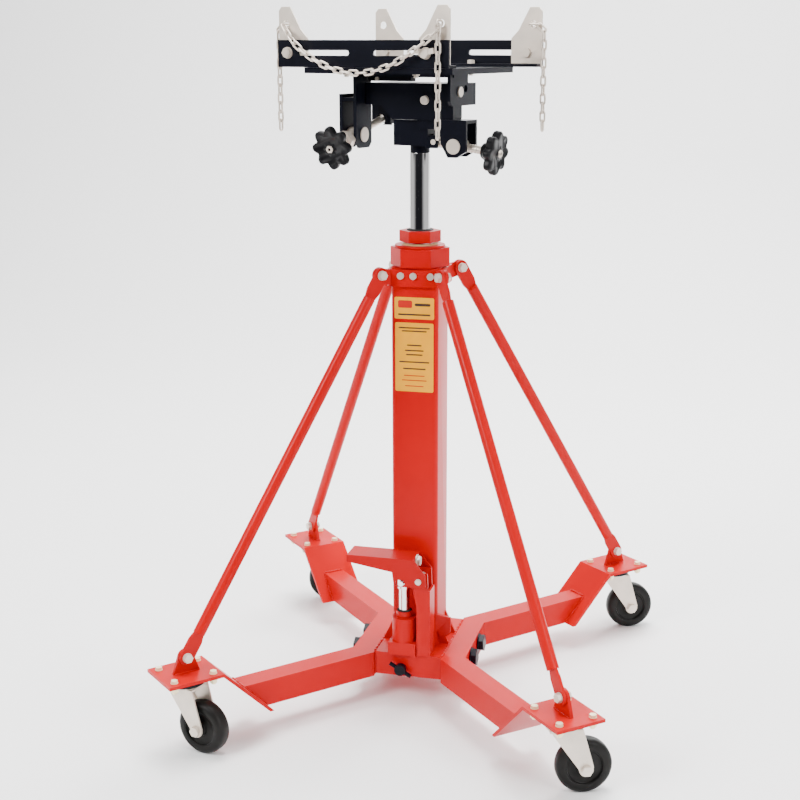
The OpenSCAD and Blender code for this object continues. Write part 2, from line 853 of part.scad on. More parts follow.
module fork(i) {
  zc = plate_top - plate_t - 20;
  color(zinc) caster(i) {
    difference() {
      union() {
        translate([0, 0, zc]) cylinder(r = 30, h = 5.2);
        box([-28, -24, zc], [30, 24, zc + 4]);
        for (y = [-24, 21]) side_plate(y, y + 3) {
          polygon([[-28, zc + 4], [30, zc + 4], [trail + 13, axle_z + 4], [trail + 6, axle_z - 10],
            [trail - 8, axle_z - 9], [trail - 14, axle_z + 2]]);
          translate([trail, axle_z]) circle(12.5);
        }
        for (y = [-24, 17]) side_plate(y, y + 7)
          polygon([[-28, zc + 4], [-24, zc + 4], [trail - 12, axle_z + 12], [trail - 14, axle_z + 6],
            [trail - 16, axle_z + 6]]);
      }
      translate([0, 0, zc - 10]) cylinder(r = 6.05, h = 30);
      translate([trail, 0, axle_z]) along_y(5.2, -30, 30);
    }
    translate([trail, 0, axle_z]) {
      along_y(5, -31, 31);
      hex_y(17, 24.2, 30.2);
      hex_y(17, -31.2, -24.2);
    }
  }
}

module wheel(i) {
  r = wheel_d / 2;
  h = wheel_w / 2;
  color(black) caster(i) translate([trail, 0, axle_z]) difference() {
    union() {
      along_y(r, -h + 9, h - 9);
      along_y(r - 9, -h, h);
      along_y(14, -16.5, 16.5);
      rotate([90, 0, 0]) rotate_extrude() for (s = [-1, 1]) translate([r - 9, s * (h - 9)]) circle(9);
    }
    along_y(5.05, -30, 30);
    for (s = [-1, 1]) rotate([90, 0, 0]) rotate_extrude() translate([30, s * h]) circle(3);
  }
}

module fork_fl() {
  fork(3);
}

module fork_fr() {
  fork(0);
}

module fork_rl() {
  fork(2);
}

module fork_rr() {
  fork(1);
}

module wheel_fl() {
  wheel(3);
}

module wheel_fr() {
  wheel(0);
}

module wheel_rl() {
  wheel(2);
}

module wheel_rr() {
  wheel(1);
}

centre_base();
side_frame_left();
side_frame_right();
frame_bolts();
column_tube();
strut_collar();
strut_fl();
strut_fr();
strut_rl();
strut_rr();
strut_bolts();
caster_plates();
caster_bolts();
caster_races();
pump_body();
pump_bracket();
pressure_cylinder();
gland_nut();
release_screw();
stage_one_tube();
stage_one_nut();
ram();
hub();
yoke_frame();
yoke_bolts();
side_block();
side_rod();
side_knob();
side_nut();
saddle_pan();
saddle_pins();
clamp_bolts();
long_block();
long_rod();
long_knob();
long_nut();
front_arm();
bracket_left();
bracket_front();
front_arm_bolts();
chain_front();
back_arm();
bracket_back();
bracket_right();
back_arm_bolts();
chain_back();
tail_left();
tail_front();
tail_right();
pedal();
pedal_fasteners();
pump_piston();
fork_fl();
fork_fr();
fork_rl();
fork_rr();
wheel_fl();
wheel_fr();
wheel_rl();
wheel_rr();
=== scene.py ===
"""A tall two-stage transmission jack: four braced legs on casters, a square
column with a foot pump, telescopic rams and a tilting cradle head."""

import math

import bmesh
import bpy
from mathutils import Matrix, Vector


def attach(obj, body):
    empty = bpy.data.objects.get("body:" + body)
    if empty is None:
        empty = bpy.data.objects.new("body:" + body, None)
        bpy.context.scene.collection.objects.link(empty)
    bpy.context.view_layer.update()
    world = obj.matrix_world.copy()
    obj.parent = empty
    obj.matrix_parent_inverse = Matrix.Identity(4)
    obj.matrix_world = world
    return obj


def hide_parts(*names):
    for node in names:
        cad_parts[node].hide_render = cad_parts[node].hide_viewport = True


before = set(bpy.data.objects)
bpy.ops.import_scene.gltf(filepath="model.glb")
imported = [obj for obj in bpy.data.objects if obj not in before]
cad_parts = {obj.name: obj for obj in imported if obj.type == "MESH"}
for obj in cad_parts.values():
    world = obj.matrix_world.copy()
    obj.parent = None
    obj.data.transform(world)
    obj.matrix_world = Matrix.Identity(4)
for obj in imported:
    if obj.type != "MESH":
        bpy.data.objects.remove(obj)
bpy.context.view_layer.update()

# The camera stands a little above the cradle and to the right of the pedal,
# with the lens shifted so that the whole jack fills the picture.
camera = bpy.data.objects.new("camera", bpy.data.cameras.new("camera"))
bpy.context.collection.objects.link(camera)
camera.data.sensor_width = 36.0
camera.data.lens = 64.908
camera.data.shift_x = -0.0251
camera.data.shift_y = 0.0220
turn, rise, away = math.radians(13.886), math.radians(14.598), 2.7836
camera.location = (
    away * math.sin(turn) * math.cos(rise),
    -away * math.cos(turn) * math.cos(rise),
    0.55 + away * math.sin(rise),
)
camera.rotation_euler = (math.pi / 2 - rise, 0, turn)
bpy.context.scene.camera = camera

# The studio is a pale sweep of painted board: flat under the jack, curved up
# behind it and on to a wall, under a white room that is dim towards the front.
sweep = bmesh.new()
fold = [(-1.4, 0.0), (2.4, 0.0)]
for n in range(1, 17):
    bend = math.radians(90 * n / 16)
    fold.append((2.4 + 1.6 * math.sin(bend), 1.6 - 1.6 * math.cos(bend)))
fold.append((4.0, 6.5))
line = [sweep.verts.new((-6.0, y, z)) for y, z in fold]
run = [sweep.edges.new((line[n - 1], line[n])) for n in range(1, len(line))]
sheet = bmesh.ops.extrude_edge_only(sweep, edges=run)["geom"]
bmesh.ops.translate(sweep, verts=[g for g in sheet if isinstance(g, bmesh.types.BMVert)], vec=(12.0, 0, 0))
bmesh.ops.recalc_face_normals(sweep, faces=sweep.faces)
sweep.faces.ensure_lookup_table()
if sweep.faces[0].normal.z < 0:
    bmesh.ops.reverse_faces(sweep, faces=sweep.faces)
for f in sweep.faces:
    f.smooth = True
floor = bpy.data.objects.new("studio_floor", bpy.data.meshes.new("studio_floor"))
sweep.to_mesh(floor.data)
sweep.free()
bpy.context.collection.objects.link(floor)
board = bpy.data.materials.new("pale_board")
board.use_nodes = True
tree = board.node_tree
face = tree.nodes["Principled BSDF"]
mottle = tree.nodes.new("ShaderNodeTexNoise")
mottle.inputs["Scale"].default_value = 1.5
tone = tree.nodes.new("ShaderNodeValToRGB")
tone.color_ramp.elements[0].color = (0.93, 0.93, 0.93, 1)
tone.color_ramp.elements[1].color = (0.96, 0.96, 0.96, 1)
where = tree.nodes.new("ShaderNodeTexCoord")
tree.links.new(where.outputs["Object"], mottle.inputs["Vector"])
tree.links.new(mottle.outputs["Fac"], tone.inputs["Fac"])
tree.links.new(tone.outputs["Color"], face.inputs["Base Color"])
face.inputs["Roughness"].default_value = 0.9
floor.data.materials.append(board)

room = bpy.data.worlds.new("white_room")
bpy.context.scene.world = room
room.use_nodes = True
nodes, links = room.node_tree.nodes, room.node_tree.links
nodes["Background"].inputs["Strength"].default_value = 0.75
heading = nodes.new("ShaderNodeTexCoord")
parts = nodes.new("ShaderNodeSeparateXYZ")
dusk = nodes.new("ShaderNodeValToRGB")
dusk.color_ramp.elements[0].position = 0.08
dusk.color_ramp.elements[0].color = (0.02, 0.02, 0.025, 1)
dusk.color_ramp.elements[1].position = 0.30
dusk.color_ramp.elements[1].color = (1.0, 1.0, 1.0, 1)
span = nodes.new("ShaderNodeMapRange")
span.inputs["From Min"].default_value = -1.0
span.inputs["From Max"].default_value = 1.0
links.new(heading.outputs["Generated"], parts.inputs["Vector"])
links.new(parts.outputs["Y"], span.inputs["Value"])
links.new(span.outputs["Result"], dusk.inputs["Fac"])
links.new(dusk.outputs["Color"], nodes["Background"].inputs["Color"])
backdrop = nodes.new("ShaderNodeBackground")
backdrop.inputs["Strength"].default_value = 18.0
seen = nodes.new("ShaderNodeLightPath")
choice = nodes.new("ShaderNodeMixShader")
links.new(seen.outputs["Is Camera Ray"], choice.inputs["Fac"])
links.new(nodes["Background"].outputs["Background"], choice.inputs[1])
links.new(backdrop.outputs["Background"], choice.inputs[2])
links.new(choice.outputs["Shader"], nodes["World Output"].inputs["Surface"])
for name, place, aim, size, power in (
    ("key", (-1.9, -2.6, 2.6), (0, 0, 0.7), 1.3, 150),
    ("fill", (2.6, -1.9, 1.7), (0, 0, 0.7), 1.2, 75),
    ("edge", (0.9, 2.6, 2.4), (0, 0, 0.8), 1.2, 60),
    ("wall_wash", (0, 1.2, 5.2), (0, 3.6, 1.4), 3.0, 520),
    ("floor_wash", (0, 0.8, 5.0), (0, 1.4, 0), 3.0, 160),
):
    lamp = bpy.data.objects.new(name, bpy.data.lights.new(name, "AREA"))
    lamp.data.size = size
    lamp.data.energy = power
    lamp.location = place
    lamp.rotation_euler = (Vector(aim) - Vector(place)).to_track_quat("-Z", "Y").to_euler()
    bpy.context.collection.objects.link(lamp)


# Red baking enamel over welded steel: deep and glossy, with the faint orange
# peel of a sprayed coat, slow changes of tone, and thin worn spots scattered at random.
def enamel(name, deep, bright, worn, peel, shine, wear):
    paint = bpy.data.materials.new(name)
    paint.use_nodes = True
    nodes, links = paint.node_tree.nodes, paint.node_tree.links
    skin = nodes["Principled BSDF"]
    where = nodes.new("ShaderNodeTexCoord")
    slow = nodes.new("ShaderNodeTexNoise")
    slow.inputs["Scale"].default_value = 7.0
    slow.inputs["Detail"].default_value = 4.0
    shade = nodes.new("ShaderNodeMix")
    shade.data_type = "RGBA"
    shade.inputs["A"].default_value = (*deep, 1)
    shade.inputs["B"].default_value = (*bright, 1)
    links.new(where.outputs["Object"], slow.inputs["Vector"])
    links.new(slow.outputs["Fac"], shade.inputs["Factor"])
    chips = nodes.new("ShaderNodeTexNoise")
    chips.inputs["Scale"].default_value = 130.0
    chips.inputs["Detail"].default_value = 6.0
    chips.inputs["Roughness"].default_value = 0.7
    spots = nodes.new("ShaderNodeValToRGB")
    spots.color_ramp.elements[0].position = 1.0 - wear
    spots.color_ramp.elements[1].position = 1.0 - wear + 0.03
    links.new(where.outputs["Object"], chips.inputs["Vector"])
    links.new(chips.outputs["Fac"], spots.inputs["Fac"])
    coat = nodes.new("ShaderNodeMix")
    coat.data_type = "RGBA"
    coat.inputs["B"].default_value = (*worn, 1)
    links.new(spots.outputs["Color"], coat.inputs["Factor"])
    links.new(shade.outputs["Result"], coat.inputs["A"])
    links.new(coat.outputs["Result"], skin.inputs["Base Color"])
    gloss = nodes.new("ShaderNodeMapRange")
    gloss.inputs["To Min"].default_value = shine
    gloss.inputs["To Max"].default_value = shine + 0.16
    links.new(slow.outputs["Fac"], gloss.inputs["Value"])
    links.new(gloss.outputs["Result"], skin.inputs["Roughness"])
    ripple = nodes.new("ShaderNodeTexNoise")
    ripple.inputs["Scale"].default_value = peel
    ripple.inputs["Detail"].default_value = 2.0
    lift = nodes.new("ShaderNodeBump")
    lift.inputs["Strength"].default_value = 0.16
    lift.inputs["Distance"].default_value = 0.0006
    links.new(where.outputs["Object"], ripple.inputs["Vector"])
    links.new(ripple.outputs["Fac"], lift.inputs["Height"])
    links.new(lift.outputs["Normal"], skin.inputs["Normal"])
    skin.inputs["Specular IOR Level"].default_value = 0.09
    skin.inputs["Coat Weight"].default_value = 0.04
    skin.inputs["Coat Roughness"].default_value = 0.09
    return paint


red = enamel("red_enamel", (0.40, 0.0, 0.001), (0.53, 0.0, 0.003), (0.24, 0.003, 0.004), 420, 0.24, 0.25)


# Every welded or pressed piece has softened corners where the press or the
# grinder broke its edges. The CAD shape is kept and only its corners rolled.
def broken_edges(node, material, body, radius, steps=2, limit=32):
    shape = bmesh.new()
    shape.from_mesh(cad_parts[node].data)
    bmesh.ops.remove_doubles(shape, verts=shape.verts, dist=0.00001)
    bmesh.ops.dissolve_limit(
        shape, angle_limit=math.radians(0.6), verts=shape.verts, edges=shape.edges
    )
    for f in shape.faces:
        f.smooth = True
    for e in shape.edges:
        e.smooth = len(e.link_faces) == 2 and e.calc_face_angle(0) < math.radians(limit)
    piece = bpy.data.objects.new(node + "_shell", bpy.data.meshes.new(node + "_shell"))
    shape.to_mesh(piece.data)
    shape.free()
    bpy.context.collection.objects.link(piece)
    piece.data.materials.append(material)
    roll = piece.modifiers.new("rolled_edges", "BEVEL")
    roll.width = radius
    roll.segments = steps
    roll.limit_method = "ANGLE"
    roll.angle_limit = math.radians(limit)
    roll.harden_normals = True
    roll.use_clamp_overlap = True
    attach(piece, body)
    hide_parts(node)
    return piece


for node in ("centre_base", "side_frame_left", "side_frame_right", "column_tube", "strut_collar"):
    broken_edges(node, red, "base", 0.0009)
for corner in ("fl", "fr", "rl", "rr"):
    broken_edges("strut_" + corner, red, "base", 0.0006)

# The base is fillet welded: ripples of red-painted bead run round the foot of
# the column, across each leg where it meets its bent plate, along the strut
# lugs and down the joint between the side frames and the centre block.
beads = bmesh.new()


def run_bead(start, end, radius):
    start, end = Vector(start), Vector(end)
    way = end - start
    rings = max(3, int(way.length / 0.0021))
    along = way.to_track_quat("Z", "Y").to_matrix().to_4x4()
    ring = bmesh.ops.create_circle(
        beads, cap_ends=True, segments=8, radius=radius, matrix=Matrix.Translation(start) @ along
    )
    tip = ring["verts"][0].link_faces[0]
    swell = 1.0
    for n in range(rings):
        grown = bmesh.ops.extrude_face_region(beads, geom=[tip])["geom"]
        tip = next(g for g in grown if isinstance(g, bmesh.types.BMFace))
        now = 1.0 + 0.16 * math.sin(n * 2.1) + 0.05 * math.sin(n * 5.3)
        if n == rings - 1:
            now = 0.5
        bmesh.ops.translate(beads, verts=tip.verts, vec=way / rings)
        place = Matrix.Translation(-tip.calc_center_median())
        bmesh.ops.scale(beads, verts=tip.verts, vec=(now / swell,) * 3, space=place)
        swell = now


for s in (-1, 1):
    run_bead((-0.037, s * 0.0452, 0.1005), (0.037, s * 0.0452, 0.1005), 0.0026)
    run_bead((s * 0.0452, -0.037, 0.1005), (s * 0.0452, 0.037, 0.1005), 0.0026)
    run_bead((s * 0.067, -0.096, 0.0998), (s * 0.067, 0.096, 0.0998), 0.0022)
for heading in (-47.5, 47.5, 132.5, 227.5):
    out = Vector((math.cos(math.radians(heading)), math.sin(math.radians(heading)), 0))
    across = Vector((-out.y, out.x, 0))
    up = Vector((0, 0, 1))
    run_bead(
        out * 0.4065 - across * 0.021 + up * 0.1005,
        out * 0.4065 + across * 0.021 + up * 0.1005,
        0.0027,
    )
    for s in (-1, 1):
        foot = out * 0.3575 + across * s * 0.0228 + up * 0.0505
        run_bead(foot, foot + (out + up) * 0.048, 0.0022)
        lug = out * 0.485 + across * s * 0.0034 + up * 0.1484
        run_bead(lug, lug + out * 0.048, 0.0020)
bmesh.ops.recalc_face_normals(beads, faces=beads.faces)
for f in beads.faces:
    f.smooth = True
welds = bpy.data.objects.new("weld_beads", bpy.data.meshes.new("weld_beads"))
beads.to_mesh(welds.data)
beads.free()
bpy.context.collection.objects.link(welds)
welds.data.materials.append(red)
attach(welds, "base")

# The pump is a turned cylinder on the base block, worked by a folded pedal in
# a two-cheek bracket. All of it wears the same enamel, thinner on the pedal.
trodden = enamel("trodden_enamel", (0.36, 0.0, 0.001), (0.48, 0.0, 0.003), (0.20, 0.12, 0.11), 420, 0.30, 0.31)
broken_edges("pump_body", red, "base", 0.0008)
broken_edges("pump_bracket", red, "base", 0.0007)
broken_edges("pedal", trodden, "pedal", 0.0012)
broken_edges("gland_nut", red, "base", 0.0011, 3)
broken_edges("stage_one_nut", red, "stage_one", 0.0010, 3)


# Two self-adhesive plates sit on the front of the column: yellow film with a
# plain red block, dark rules and blank lines of print that say nothing.
def film(name, tint, speck):
    stock = bpy.data.materials.new(name)
    stock.use_nodes = True
    nodes, links = stock.node_tree.nodes, stock.node_tree.links
    skin = nodes["Principled BSDF"]
    where = nodes.new("ShaderNodeTexCoord")
    dust = nodes.new("ShaderNodeTexNoise")
    dust.inputs["Scale"].default_value = 45.0
    dust.inputs["Detail"].default_value = 5.0
    fade = nodes.new("ShaderNodeMix")
    fade.data_type = "RGBA"
    fade.inputs["A"].default_value = (*tint, 1)
    fade.inputs["B"].default_value = (*speck, 1)
    links.new(where.outputs["Object"], dust.inputs["Vector"])
    links.new(dust.outputs["Fac"], fade.inputs["Factor"])
    links.new(fade.outputs["Result"], skin.inputs["Base Color"])
    crease = nodes.new("ShaderNodeBump")
    crease.inputs["Strength"].default_value = 0.08
    crease.inputs["Distance"].default_value = 0.0004
    links.new(dust.outputs["Fac"], crease.inputs["Height"])
    links.new(crease.outputs["Normal"], skin.inputs["Normal"])
    skin.inputs["Roughness"].default_value = 0.34
    skin.inputs["Specular IOR Level"].default_value = 0.22
    return stock


yellow_film = film("yellow_film", (0.88, 0.42, 0.005), (0.78, 0.32, 0.004))
red_ink = film("red_ink", (0.55, 0.01, 0.01), (0.45, 0.02, 0.01))
dark_ink = film("dark_ink", (0.03, 0.02, 0.02), (0.06, 0.04, 0.03))


def stuck_plate(name, stock, left, right, low, high, stand):
    sheet = bmesh.new()
    middle = ((left + right) / 2, -0.0450 - stand / 2, (low + high) / 2)
    bmesh.ops.create_cube(sheet, size=1.0)
    bmesh.ops.scale(sheet, verts=sheet.verts, vec=(right - left, stand, high - low))
    bmesh.ops.translate(sheet, verts=sheet.verts, vec=middle)
    corners = [e for e in sheet.edges if abs(e.verts[0].co.y - e.verts[1].co.y) > stand / 2]
    bmesh.ops.bevel(
        sheet, geom=corners, offset=min(0.003, (high - low) / 2.2), segments=4, affect="EDGES",
        profile=0.5, material=-1,
    )
    plate = bpy.data.objects.new(name, bpy.data.meshes.new(name))
    sheet.to_mesh(plate.data)
    sheet.free()
    bpy.context.collection.objects.link(plate)
    plate.data.materials.append(stock)
    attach(plate, "base")


stuck_plate("upper_plate", yellow_film, -0.038, 0.038, 0.751, 0.792, 0.0006)
stuck_plate("lower_plate", yellow_film, -0.037, 0.037, 0.612, 0.744, 0.0006)
stuck_plate("upper_block", red_ink, -0.031, -0.004, 0.772, 0.786, 0.0008)
stuck_plate("upper_rule", dark_ink, 0.001, 0.031, 0.776, 0.781, 0.0008)
stuck_plate("upper_foot", dark_ink, -0.031, 0.031, 0.758, 0.761, 0.0008)
rules = (
    (0.733, 0.030), (0.727, 0.024), (0.700, 0.014), (0.690, 0.018), (0.682, 0.016),
    (0.668, 0.029), (0.655, 0.022),
)
for n, (height, half) in enumerate(rules):
    stuck_plate(f"lower_rule_{n}", dark_ink, -half, half, height, height + 0.0024, 0.0008)
for n, (height, half) in enumerate(((0.642, 0.020), (0.633, 0.024), (0.622, 0.018))):
    stuck_plate(f"lower_red_rule_{n}", red_ink, -half, half, height, height + 0.0018, 0.0008)


# The ram, the first stage and the pump's piston are ground and hard chromed:
# almost a mirror, with grinding rings too fine to count and a trace of oil.
def ground_chrome(name, oil):
    plate = bpy.data.materials.new(name)
    plate.use_nodes = True
    nodes, links = plate.node_tree.nodes, plate.node_tree.links
    skin = nodes["Principled BSDF"]
    where = nodes.new("ShaderNodeTexCoord")
    stretch = nodes.new("ShaderNodeMapping")
    stretch.inputs["Scale"].default_value = (6.0, 6.0, 900.0)
    rings = nodes.new("ShaderNodeTexNoise")
    rings.inputs["Scale"].default_value = 1.0
    rings.inputs["Detail"].default_value = 3.0
    links.new(where.outputs["Object"], stretch.inputs["Vector"])
    links.new(stretch.outputs["Vector"], rings.inputs["Vector"])
    smear = nodes.new("ShaderNodeTexNoise")
    smear.inputs["Scale"].default_value = 14.0
    smear.inputs["Detail"].default_value = 4.0
    links.new(where.outputs["Object"], smear.inputs["Vector"])
    tone = nodes.new("ShaderNodeMix")
    tone.data_type = "RGBA"
    tone.inputs["A"].default_value = (0.86, 0.86, 0.88, 1)
    tone.inputs["B"].default_value = (*oil, 1)
    links.new(smear.outputs["Fac"], tone.inputs["Factor"])
    links.new(tone.outputs["Result"], skin.inputs["Base Color"])
    dull = nodes.new("ShaderNodeMapRange")
    dull.inputs["To Min"].default_value = 0.05
    dull.inputs["To Max"].default_value = 0.17
    links.new(smear.outputs["Fac"], dull.inputs["Value"])
    links.new(dull.outputs["Result"], skin.inputs["Roughness"])
    lift = nodes.new("ShaderNodeBump")
    lift.inputs["Strength"].default_value = 0.06
    lift.inputs["Distance"].default_value = 0.0002
    links.new(rings.outputs["Fac"], lift.inputs["Height"])
    links.new(lift.outputs["Normal"], skin.inputs["Normal"])
    skin.inputs["Metallic"].default_value = 1.0
    return plate


chrome = ground_chrome("hard_chrome", (0.74, 0.72, 0.70))
drawn = ground_chrome("drawn_tube", (0.40, 0.40, 0.40))
broken_edges("ram", chrome, "ram", 0.0006)
broken_edges("stage_one_tube", chrome, "stage_one", 0.0006)
broken_edges("pump_piston", chrome, "piston", 0.0006)
broken_edges("pressure_cylinder", drawn, "base", 0.0006)


# A moulded wiper lies round each moving rod where it leaves its nut: an amber
# lip on the big gland, black ones elsewhere. The lathe outline is spun.
def moulded(name, tint, dusty, grain, rough):
    stock = bpy.data.materials.new(name)
    stock.use_nodes = True
    nodes, links = stock.node_tree.nodes, stock.node_tree.links
    skin = nodes["Principled BSDF"]
    where = nodes.new("ShaderNodeTexCoord")
    dust = nodes.new("ShaderNodeTexNoise")
    dust.inputs["Scale"].default_value = 38.0
    dust.inputs["Detail"].default_value = 5.0
    mix = nodes.new("ShaderNodeMix")
    mix.data_type = "RGBA"
    mix.inputs["A"].default_value = (*tint, 1)
    mix.inputs["B"].default_value = (*dusty, 1)
    links.new(where.outputs["Object"], dust.inputs["Vector"])
    links.new(dust.outputs["Fac"], mix.inputs["Factor"])
    links.new(mix.outputs["Result"], skin.inputs["Base Color"])
    pits = nodes.new("ShaderNodeTexVoronoi")
    pits.inputs["Scale"].default_value = grain
    lift = nodes.new("ShaderNodeBump")
    lift.inputs["Strength"].default_value = 0.12
    lift.inputs["Distance"].default_value = 0.0004
    links.new(where.outputs["Object"], pits.inputs["Vector"])
    links.new(pits.outputs["Distance"], lift.inputs["Height"])
    links.new(lift.outputs["Normal"], skin.inputs["Normal"])
    dull = nodes.new("ShaderNodeMapRange")
    dull.inputs["To Min"].default_value = rough
    dull.inputs["To Max"].default_value = rough + 0.15
    links.new(dust.outputs["Fac"], dull.inputs["Value"])
    links.new(dull.outputs["Result"], skin.inputs["Roughness"])
    skin.inputs["Specular IOR Level"].default_value = 0.14
    return stock


rubber = moulded("wiper_rubber", (0.012, 0.012, 0.013), (0.030, 0.029, 0.028), 900, 0.55)
amber = moulded("wiper_urethane", (0.62, 0.40, 0.20), (0.48, 0.29, 0.13), 900, 0.40)


def turned(name, outline, place, stock, body, steps=64):
    lathe = bmesh.new()
    rim = [lathe.verts.new((r, 0, h)) for r, h in outline]
    cut = [lathe.edges.new((rim[n - 1], rim[n])) for n in range(len(rim))]
    bmesh.ops.spin(
        lathe, geom=rim + cut, cent=(0, 0, 0), axis=(0, 0, 1), angle=2 * math.pi, steps=steps,
        use_merge=True, use_duplicate=False,
    )
    bmesh.ops.remove_doubles(lathe, verts=lathe.verts, dist=0.000001)
    bmesh.ops.recalc_face_normals(lathe, faces=lathe.faces)
    bmesh.ops.transform(lathe, matrix=place, verts=lathe.verts)
    for f in lathe.faces:
        f.smooth = True
    for e in lathe.edges:
        e.smooth = e.calc_face_angle(0) < math.radians(38)
    piece = bpy.data.objects.new(name, bpy.data.meshes.new(name))
    lathe.to_mesh(piece.data)
    lathe.free()
    bpy.context.collection.objects.link(piece)
    piece.data.materials.append(stock)
    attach(piece, body)
    return piece


lip = (
    (0.0002, -0.002), (0.0062, -0.002), (0.0062, 0.0008), (0.0048, 0.0018), (0.0024, 0.0014),
    (0.0006, 0.0026), (0.0001, 0.0014),
)
for name, radius, x, y, z, body, stock in (
    ("gland_wiper", 0.028, 0, 0, 0.886, "base", amber),
    ("stage_wiper", 0.019, 0, 0, 0.9125, "stage_one", rubber),
    ("pump_wiper", 0.0105, -0.010, -0.085, 0.186, "base", rubber),
):
    outline = [(radius + r * (0.6 if radius < 0.012 else 1), h) for r, h in lip]
    turned(name, outline, Matrix.Translation((x, y, z)), stock, body)

# The head is cut and folded from black-painted plate: hub, yoke, saddle pan and the two slotted sliding arms.
# Its bluish gloss is a painted sheen: a faint blue tint in the black's colour, mixed in by slow noise over
# every face alike.
black = enamel(
    "black_enamel", (0.002, 0.002, 0.004), (0.005, 0.006, 0.012), (0.030, 0.030, 0.034), 380, 0.22, 0.28,
)
broken_edges("hub", black, "hub", 0.0014, 3)
broken_edges("yoke_frame", black, "yoke", 0.0008)
broken_edges("saddle_pan", black, "saddle", 0.0008)
broken_edges("front_arm", black, "front_bar", 0.0008)
broken_edges("back_arm", black, "back_bar", 0.0008)
broken_edges("caster_races", black, "base", 0.0006)
broken_edges("frame_bolts", black, "base", 0.0008)
broken_edges("release_screw", black, "release", 0.0010)


# Bright zinc plate covers the brackets, chain, forks, screws and bolts: warm
# grey-white, softly cloudy, with fine rolling marks and a satin sparkle.
def zinc_plate(name, cool, warm, rough):
    plate = bpy.data.materials.new(name)
    plate.use_nodes = True
    nodes, links = plate.node_tree.nodes, plate.node_tree.links
    skin = nodes["Principled BSDF"]
    where = nodes.new("ShaderNodeTexCoord")
    cloud = nodes.new("ShaderNodeTexNoise")
    cloud.inputs["Scale"].default_value = 32.0
    cloud.inputs["Detail"].default_value = 6.0
    tone = nodes.new("ShaderNodeMix")
    tone.data_type = "RGBA"
    tone.inputs["A"].default_value = (*cool, 1)
    tone.inputs["B"].default_value = (*warm, 1)
    links.new(where.outputs["Object"], cloud.inputs["Vector"])
    links.new(cloud.outputs["Fac"], tone.inputs["Factor"])
    links.new(tone.outputs["Result"], skin.inputs["Base Color"])
    flake = nodes.new("ShaderNodeTexVoronoi")
    flake.inputs["Scale"].default_value = 260.0
    links.new(where.outputs["Object"], flake.inputs["Vector"])
    sparkle = nodes.new("ShaderNodeMapRange")
    sparkle.inputs["To Min"].default_value = rough
    sparkle.inputs["To Max"].default_value = rough + 0.2
    links.new(flake.outputs["Distance"], sparkle.inputs["Value"])
    links.new(sparkle.outputs["Result"], skin.inputs["Roughness"])
    lift = nodes.new("ShaderNodeBump")
    lift.inputs["Strength"].default_value = 0.10
    lift.inputs["Distance"].default_value = 0.0003
    links.new(cloud.outputs["Fac"], lift.inputs["Height"])
    links.new(lift.outputs["Normal"], skin.inputs["Normal"])
    skin.inputs["Metallic"].default_value = 0.45
    return plate


zinc = zinc_plate("bright_zinc", (0.52, 0.46, 0.40), (0.80, 0.70, 0.60), 0.26)
straw = zinc_plate("straw_zinc", (0.86, 0.74, 0.42), (0.92, 0.84, 0.62), 0.24)
for node, body in (
    ("bracket_left", "front_bar"), ("bracket_front", "front_bar"), ("bracket_back", "back_bar"),
    ("bracket_right", "back_bar"), ("front_arm_bolts", "front_bar"), ("back_arm_bolts", "back_bar"),
    ("caster_plates", "base"), ("strut_bolts", "base"), ("clamp_bolts", "saddle"),
    ("saddle_pins", "saddle"), ("yoke_bolts", "yoke"), ("pedal_fasteners", "pedal"),
    ("side_block", "side_swing"), ("side_rod", "side_screw"), ("side_nut", "side_trunnion"),
    ("long_block", "long_swing"), ("long_rod", "long_screw"), ("long_nut", "long_trunnion"),
    ("fork_fl", "caster_fl"), ("fork_fr", "caster_fr"), ("fork_rl", "caster_rl"), ("fork_rr", "caster_rr"),
):
    broken_edges(node, zinc, body, 0.0006)
broken_edges("caster_bolts", straw, "base", 0.0005)
for node in ("chain_front", "chain_back", "tail_left", "tail_front", "tail_right"):
    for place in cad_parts[node].material_slots:
        place.material = zinc

# A coarse thread is rolled on both tilt screws. One tooth's outline is spun
# and stepped along the rod, from inside the nut to just short of the knob.
head_turned = Matrix.Rotation(math.radians(-15), 4, "Z")
side_way = (
    head_turned @ Matrix.Translation((0.046, -0.022, 1.077))
    @ Matrix.Rotation(math.radians(7.8), 4, "Y") @ Matrix.Rotation(math.radians(90), 4, "Y")
)
long_way = (
    head_turned @ Matrix.Translation((-0.109, 0.066, 1.115))
    @ Matrix.Rotation(math.radians(13.8), 4, "X") @ Matrix.Rotation(math.radians(90), 4, "X")
)


def rolled_thread(name, start, turns, place, body):
    lathe = bmesh.new()
    tooth = [
        lathe.verts.new(p)
        for p in ((0.0068, 0, start - 0.0016), (0.0078, 0, start), (0.0068, 0, start + 0.0016))
    ]
    flank = lathe.faces.new(tooth)
    geom = [flank, *flank.edges, *flank.verts]
    bmesh.ops.spin(
        lathe, geom=geom, cent=(0, 0, 0), axis=(0, 0, 1), dvec=(0, 0, 0.005 / 20),
        angle=2 * math.pi * turns, steps=20 * turns, use_merge=False, use_duplicate=False,
    )
    bmesh.ops.recalc_face_normals(lathe, faces=lathe.faces)
    bmesh.ops.transform(lathe, matrix=place, verts=lathe.verts)
    for f in lathe.faces:
        f.smooth = True
    piece = bpy.data.objects.new(name, bpy.data.meshes.new(name))
    lathe.to_mesh(piece.data)
    lathe.free()
    bpy.context.collection.objects.link(piece)
    piece.data.materials.append(zinc)
    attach(piece, body)


rolled_thread("side_thread", 0.026, 13, side_way, "side_screw")
rolled_thread("long_thread", 0.090, 16, long_way, "long_screw")

# Each tilt screw ends in a lobed handwheel of black moulding, dished on its
# face round a plated nut, with the lobes rolled over so that they fit a hand.
phenolic = moulded("phenolic", (0.003, 0.003, 0.004), (0.008, 0.008, 0.009), 1500, 0.26)


